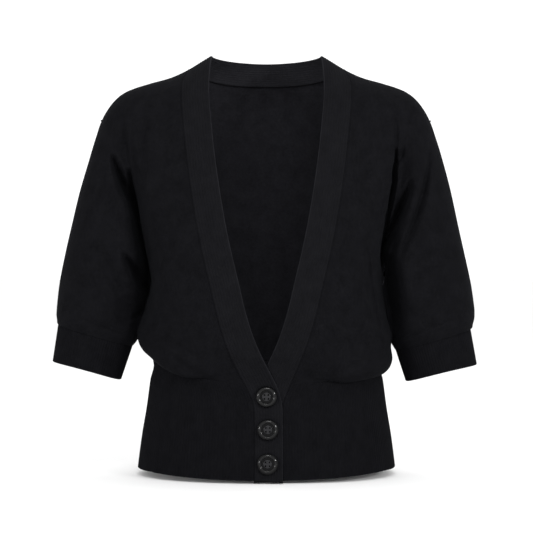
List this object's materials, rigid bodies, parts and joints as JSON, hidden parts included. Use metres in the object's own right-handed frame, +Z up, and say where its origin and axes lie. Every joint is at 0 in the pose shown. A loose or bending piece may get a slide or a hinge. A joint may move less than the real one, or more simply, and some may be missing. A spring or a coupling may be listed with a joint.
{
  "type": "batwing cardigan",
  "caption": "Cropped batwing-sleeve knitted cardigan with a deep V neck, ribbed front band, cuffs and waistband, worn shape, hollow inside.",
  "frame": {"origin": "between the shoulders, at the height of the middle of the shoulder seams, in the plane of the over-arm seams", "axes": "+Z up, -Y towards the front opening, +X to the viewer's right, which is the wearer's left"},
  "size_m": [0.5292, 0.2175, 0.5202],
  "materials": {
    "knit": "black fine-gauge jersey knit, matt",
    "rib": "black fine rib knit, matt",
    "button": "black, polished"
  },
  "bodies": {
    "root": {"front_right": "knit", "front_left": "knit", "back": "knit", "waistband_right": "rib", "waistband_back": "rib", "waistband_left": "rib", "cuff_right": "rib", "cuff_left": "rib", "front_band": "rib", "button_top": "button", "button_middle": "button", "button_bottom": "button"}
  },
  "joints": []
}
